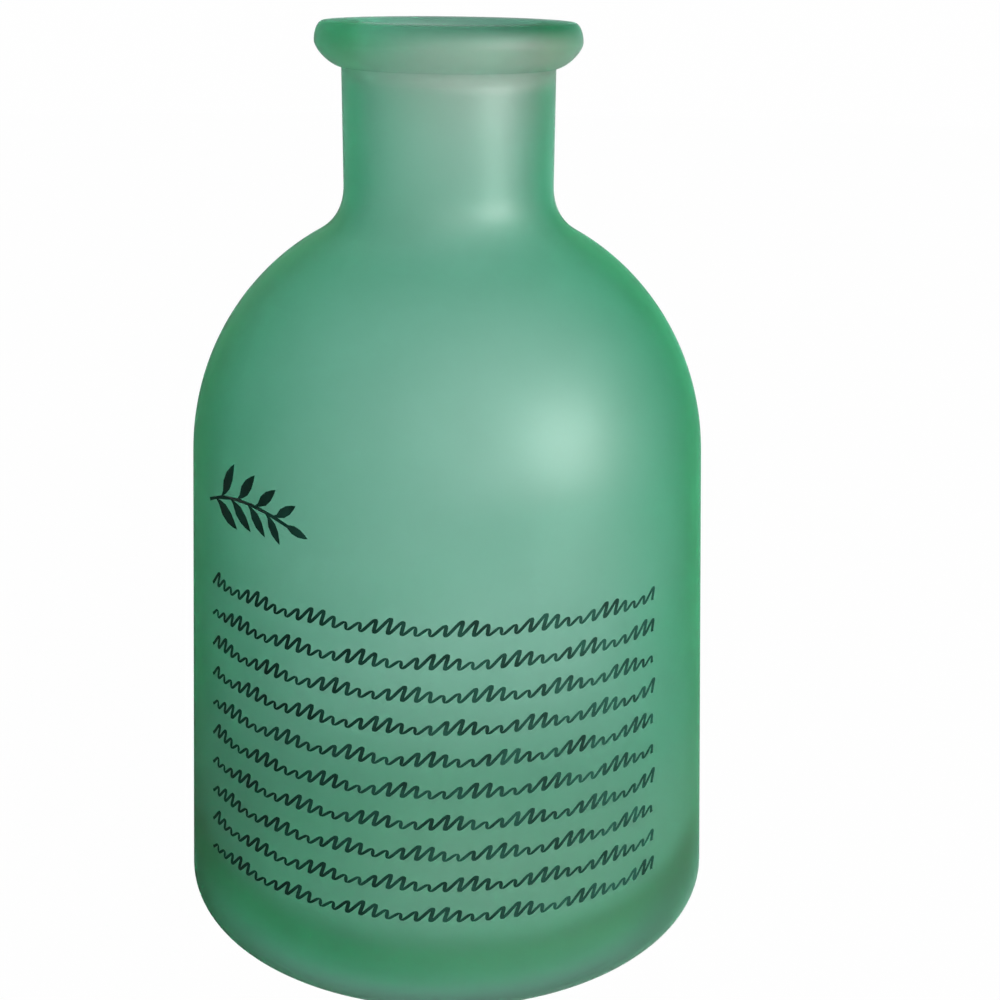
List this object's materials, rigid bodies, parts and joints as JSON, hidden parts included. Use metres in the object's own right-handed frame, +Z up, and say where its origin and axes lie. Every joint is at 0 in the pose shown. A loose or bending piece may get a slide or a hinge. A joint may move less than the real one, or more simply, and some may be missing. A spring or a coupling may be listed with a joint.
{
  "type": "bottle vase",
  "caption": "Bottle-shaped vase of frosted sea-green glass with a rolled lip, short neck, round shoulder, rounded heel and a dark printed band of running waves.",
  "frame": {"origin": "centre of the foot ring, in the plane the vase stands on", "axes": "+Z up along the vessel's axis, -Y towards the viewer and through the middle of the print"},
  "size_m": [0.1004, 0.1004, 0.163],
  "materials": {
    "frosted_glass": "satin, acid-etched sea-green glass",
    "print_ink": "matt dark green fired-on ink"
  },
  "bodies": {
    "root": {"glass_vessel": "frosted_glass", "print_wave_row_01": "print_ink", "print_wave_row_02": "print_ink", "print_wave_row_03": "print_ink", "print_wave_row_04": "print_ink", "print_wave_row_05": "print_ink", "print_wave_row_06": "print_ink", "print_wave_row_07": "print_ink", "print_wave_row_08": "print_ink", "print_wave_row_09": "print_ink", "print_wave_row_10": "print_ink", "print_sprig": "print_ink"}
  },
  "joints": []
}
